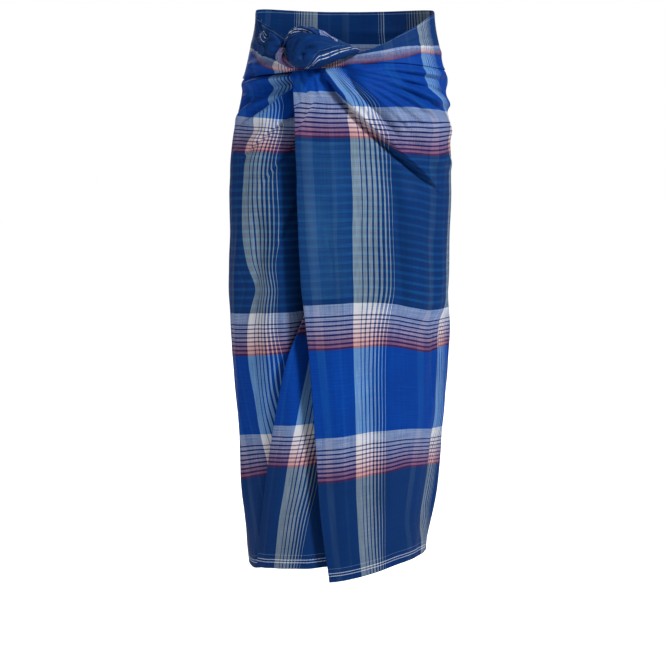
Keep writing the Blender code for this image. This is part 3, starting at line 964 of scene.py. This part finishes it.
def stripe_stops(widths, whole, first=1.0):
    """Ramp stops for stripes of these widths laid side by side, light and dark by turns."""
    starts = np.concatenate([[0.0], np.cumsum(widths)]) / whole
    levels = [first if i % 2 == 0 else 1.0 - first for i in range(len(widths))] + [0.0]
    return [(float(start), grey(level)) for start, level in zip(starts, levels)]


# Widths, in mm, of the lengthwise band's stripes from its left edge, white and blue by turns.
WARP_STRIPES = (10, 1.5, 4.8, 1.7, 4.2, 2.1, 4.0, 2.5, 3.0, 2.9, 1.8, 3.5, 1.2, 3.8, 1.0)
# Widths, in mm, of the crosswise band's lines from its lower edge, dark and coloured by turns.
WEFT_LINES = [width for i in range(8) for width in (3.6 - 0.2 * i, 4.15 + 0.2 * i)]


def woven_cotton(name, roughness, bump):
    """Plaid from two sets of threads, each with its own stripes, seen half and half."""
    cotton = Finish(name, Roughness=roughness, Sheen_Weight=0.02, Sheen_Roughness=0.4, Specular_IOR_Level=0.05)
    place = cotton.node("ShaderNodeUVMap", {"uv_map": "cloth"})
    spot = cotton.node("ShaderNodeSeparateXYZ", {}, place)
    split = spot.socket.node
    u, v = Field(cotton, split.outputs[0]), Field(cotton, split.outputs[1])

    # slightly uneven lines, as from a hand loom
    waver = cotton.noise(cotton.vector(u * 9.0, v * 9.0), 1.0, 1.0)
    u_line = u + (waver - 0.5) * 0.0016
    v_line = v + (waver - 0.5) * 0.0014

    # warp: threads that run up the cloth
    across = (u_line % WARP_REPEAT) * (1.0 / WARP_REPEAT)
    warp_white = cotton.ramp(across, stripe_stops(WARP_STRIPES, WARP_REPEAT * 1000), "CONSTANT")
    warp = cotton.blended(warp_white, thread(0, 34, 110), thread(178, 176, 188))
    patchy = cotton.noise(cotton.vector(u * 60.0, v * 9.0, 2.0), 1.0, 2.0)
    faint = ((abs(across - 0.67) < 0.042) * 0.30 + (abs(across - 0.86) < 0.014) * 0.18) * patchy
    warp = cotton.blended(faint, warp, thread(206, 156, 158))

    # weft: threads that run round it
    up = (v_line - WEFT_FIRST) % WEFT_REPEAT
    second = up > WEFT_SECOND - 0.03
    rise = (up - second * WEFT_SECOND) * (1.0 / WEFT_BAND)
    in_band = (rise > 0.0) * (rise < 1.0)
    line_stops = stripe_stops(WEFT_LINES, WEFT_BAND * 1000, first=0.0)
    line_stops[-1] = (line_stops[-1][0], grey(1.0))
    light = cotton.ramp(rise, line_stops, "CONSTANT")
    light_yarn = cotton.ramp(
        rise,
        [
            (0.0, thread(196, 96, 84)),
            (0.14, thread(216, 132, 120)),
            (0.34, thread(228, 186, 180)),
            (0.6, thread(226, 212, 212)),
            (1.0, thread(206, 218, 222)),
        ],
    )
    dark_yarn = cotton.ramp(
        rise, [(0.0, thread(112, 40, 44)), (0.3, thread(60, 26, 46)), (0.8, thread(16, 34, 70))]
    )
    bright = (up < WEFT_SECOND) * (up > 0.02)
    fine = cotton.ramp(
        (up * (1.0 / FINE_LINES)) % 1.0, [(0.0, grey(0)), (0.2, grey(1)), (0.34, grey(1)), (0.6, grey(0))], "EASE"
    )
    lined = (up > 0.31) * (up < 0.57) * (v > 0.3) * (v < 0.8)
    weak = cotton.noise(cotton.vector(u * 8.0, v * 7.0, 9.0), 1.0, 2.0)
    dark_ground = cotton.blended(fine * lined * (weak * 1.2), thread(28, 64, 88), thread(42, 108, 142))
    # painted highlight: the front panel is painted paler beside its fold, where the light catches it, in the dark
    # ground
    pale = cotton.ramp(abs(u + 0.040) * 10.0, [(0.0, grey(1)), (0.62, grey(0))], "EASE")
    dark_ground = cotton.blended(pale * lined * weak, dark_ground, thread(84, 132, 150))
    ground = cotton.blended(bright, dark_ground, thread(0, 82, 168))
    band_yarn = cotton.blended(light, dark_yarn, light_yarn)
    weft = cotton.blended(in_band, ground, band_yarn)

    # white lines near the cloth's two edges: the selvage's and the hem's stitches
    edge = cotton.node("ShaderNodeMath", {"operation": "MINIMUM"}, v, CLOTH_TOP - v)
    line = (abs(edge - 0.0105) < 0.0006) + (abs(edge - 0.0150) < 0.0006) + (abs(edge - 0.0230) < 0.0004) * 0.4
    stitch = (u * (1.0 / STITCH)) % 1.0 < 0.8
    weft = cotton.blended(line * (stitch * 0.7 + 0.3), weft, thread(240, 240, 242))
    warp = cotton.blended(line * 0.5, warp, thread(200, 206, 214))

    # each yarn is a little thicker and paler in places
    warp_slub = cotton.noise(cotton.vector(u * 700.0, v * 18.0), 1.0, 3.0, 0.7)
    weft_slub = cotton.noise(cotton.vector(u * 18.0, v * 700.0, 7.0), 1.0, 3.0, 0.7)
    over = (u * (np.pi / YARN)).sine() * (v * (np.pi / YARN)).sine()
    share = over * 0.10 + 0.5 + (weft_slub - warp_slub) * 0.55
    colour = cotton.blended(share, warp, weft)
    worn = cotton.noise(cotton.vector(u * 5.0, v * 5.0, 3.0), 1.0, 4.0, 0.6)
    streak = cotton.noise(cotton.vector(u * 160.0, v * 3.0, 5.0), 1.0, 3.0, 0.6)
    level = 0.60 + worn * 0.20 + (warp_slub + weft_slub) * 0.12 + streak * 0.14
    tone = cotton.vector(level, level, level)
    colour = cotton.node("ShaderNodeVectorMath", {"operation": "MULTIPLY"}, colour, tone)
    colour = cotton.node("ShaderNodeGamma", {}, colour, 2.2)
    cotton.feed("Base Color", colour)
    cotton.feed("Roughness", roughness + (worn - 0.5) * 0.16 - in_band * 0.03)

    rumple = cotton.noise(cotton.vector(u * 38.0, v * 30.0, 1.0), 1.0, 3.0, 0.55)
    relief_height = over * 0.00006 + (warp_slub + weft_slub) * 0.00010 + rumple * bump
    normal = cotton.node("ShaderNodeBump", {}, Strength=0.6, Distance=1.0, Height=relief_height)
    cotton.feed("Normal", normal)
    return cotton.material


def plain_floor():
    """A pale matt floor with a faint, wide mottle."""
    paper = Finish("floor_paper", Roughness=0.9, Specular_IOR_Level=0.1, Emission_Strength=0.85)
    seen = paper.node("ShaderNodeLightPath", {})
    paper.feed("Emission Color", paper.blended(seen, (0.1, 0.1, 0.1, 1), (1, 1, 1, 1)))
    spot = paper.node("ShaderNodeTexCoord", {}, output=3)
    mottle = paper.noise(spot, 1.5, 3.0)
    paper.feed("Base Color", paper.blended(mottle * 0.5, (0.86, 0.86, 0.87, 1), (0.92, 0.92, 0.92, 1)))
    size = 9.0
    mesh = bpy.data.meshes.new("floor")
    corners = [(-size, -size, FLOOR), (size, -size, FLOOR), (size, size, FLOOR), (-size, size, FLOOR)]
    mesh.from_pydata(corners, [], [(0, 1, 2, 3)])
    mesh.materials.append(paper.material)
    floor = bpy.data.objects.new("floor", mesh)
    bpy.context.collection.objects.link(floor)


def light(name, place, target, size, power):
    """A soft square light that faces its target."""
    lamp = bpy.data.lights.new(name, "AREA")
    lamp.size, lamp.energy = size, power
    holder = bpy.data.objects.new(name, lamp)
    holder.location = place
    aim = np.array(target) - np.array(place)
    flat = np.hypot(aim[0], aim[1])
    holder.rotation_euler = (np.arctan2(flat, -aim[2]), 0, np.arctan2(-aim[0], aim[1]))
    bpy.context.collection.objects.link(holder)


def studio():
    """White all round, one large light before the object and to its right, a weaker one to its left."""
    world = bpy.data.worlds.new("studio")
    world.use_nodes = True
    tree = world.node_tree
    seen = tree.nodes["Background"]
    seen.inputs["Color"].default_value = (1, 1, 1, 1)
    seen.inputs["Strength"].default_value = 1.0
    fill = tree.nodes.new("ShaderNodeBackground")
    fill.inputs["Color"].default_value = (1, 1, 1, 1)
    fill.inputs["Strength"].default_value = 0.145
    path = tree.nodes.new("ShaderNodeLightPath")
    either = tree.nodes.new("ShaderNodeMixShader")
    tree.links.new(path.outputs["Is Camera Ray"], either.inputs[0])
    tree.links.new(fill.outputs[0], either.inputs[1])
    tree.links.new(seen.outputs[0], either.inputs[2])
    tree.links.new(either.outputs[0], tree.nodes["World Output"].inputs["Surface"])
    bpy.context.scene.world = world
    bpy.context.scene.view_settings.view_transform = "Standard"
    light("key", (2.1, -2.0, 1.9), (0, 0, -0.40), 0.7, 168)
    light("side", (-2.3, -1.8, 0.6), (0, 0, -0.40), 1.2, 36)
    light("rear", (-0.6, 2.6, 1.2), (0, 0, -0.45), 2.0, 44)


def camera():
    """Level with the waist, three metres before it, and tilted down by eight degrees."""
    lens = bpy.data.cameras.new("camera")
    lens.sensor_width, lens.lens = 36.0, 94.0
    holder = bpy.data.objects.new("camera", lens)
    holder.location = (-0.018, -3.0, -0.063)
    holder.rotation_euler = (np.radians(90 - 8), 0, 0)
    bpy.context.collection.objects.link(holder)
    bpy.context.scene.camera = holder


camera()
studio()
plain_floor()

plaid = woven_cotton("plaid_cotton", 0.62, 0.00050)
edge_cotton = woven_cotton("turned_edge_cotton", 0.68, 0.00030)
band_cotton = woven_cotton("waist_band_cotton", 0.60, 0.00070)
knot_cotton = woven_cotton("knot_cotton", 0.56, 0.00080)

points, places, ends = tube()
normals = outward(points)


def cut(name, rows, first, last, finish, behind=0.0):
    """One piece of the tube, from its first column to its last, moved in behind it where it is an edge."""
    window = (rows, slice(first, last + 1))
    lie = points[window] - normals[window] * behind
    return finish_piece(wall(name + "_cloth", lie, normals[window], places[window]), [name], finish)


every_row, hem_rows, above_hem = slice(None), slice(0, HEM_ROWS), slice(HEM_ROWS, None)
HEM_SHORT = 4  # columns by which a hem stops short of where its panel turns back inside
PANELS = (
    # name, first and last column, first and last column of its turned hem, cut width
    ("front_left_panel", ends[1], ends[3], ends[1], ends[2] - HEM_SHORT, 0.33),
    ("inner_pleat", ends[3], ends[7], ends[5] + 1, ends[6] - HEM_SHORT, 0.26),
    ("front_right_panel", ends[7], ends[10], ends[9] + 1, ends[10], 0.42),
    ("back_right_panel", ends[10], ends[11], ends[10], ends[11], 0.17),
    ("back_left_panel", ends[0], ends[1], ends[0], ends[1], 0.34),
)
for name, first, last, hem_first, hem_last, width in PANELS:
    panel = cut(name, every_row, first, last, plaid)
    hem = cut(name + "_hem", hem_rows, hem_first, hem_last, edge_cotton, BEHIND)
SEAM_COLUMNS = 3
SEAM_EDGES = (("seam_edge_left", 0, SEAM_COLUMNS), ("seam_edge_right", ends[11] - SEAM_COLUMNS, ends[11]))
for name, first, last in SEAM_EDGES:
    edge = cut(name, above_hem, first, last, edge_cotton, BEHIND)

# the back band's columns stop on each side of the seam, where the place in the flat cloth jumps
BACK_TURNS = np.concatenate([np.linspace(SIDE, SEAM - 0.01, 36), np.linspace(SEAM + 0.01, 360 - SIDE, 72)])
BAND_TURNS = (
    # name, turn of each column, cut width and height
    ("waist_band_left", np.linspace(-SIDE, BAND_JOIN, 66), 0.25, 0.085),
    ("waist_band_right", np.linspace(BAND_JOIN, SIDE, 96), 0.36, 0.055),
    ("waist_band_back", BACK_TURNS, 0.46, 0.105),
)
for name, turn, width, tall in BAND_TURNS:
    band_points, band_places = waist_band(turn)
    band = wall(name + "_cloth", band_points, outward(band_points), band_places)
    finish_piece(band, [name], band_cotton)

knot_fold("knot_bulb", KNOT_BULB, bulb_creases, bulb_place, 150, 120, knot_cotton)
knot_fold("knot_rim", KNOT_RIM, rim_creases, rim_place, 120, 40, knot_cotton)
knot_fold("knot_twist", KNOT_TWIST, twist_creases, twist_place, 80, 60, knot_cotton)
knot_fold("knot_tail", KNOT_TAIL, tail_creases, tail_place, 90, 72, knot_cotton)
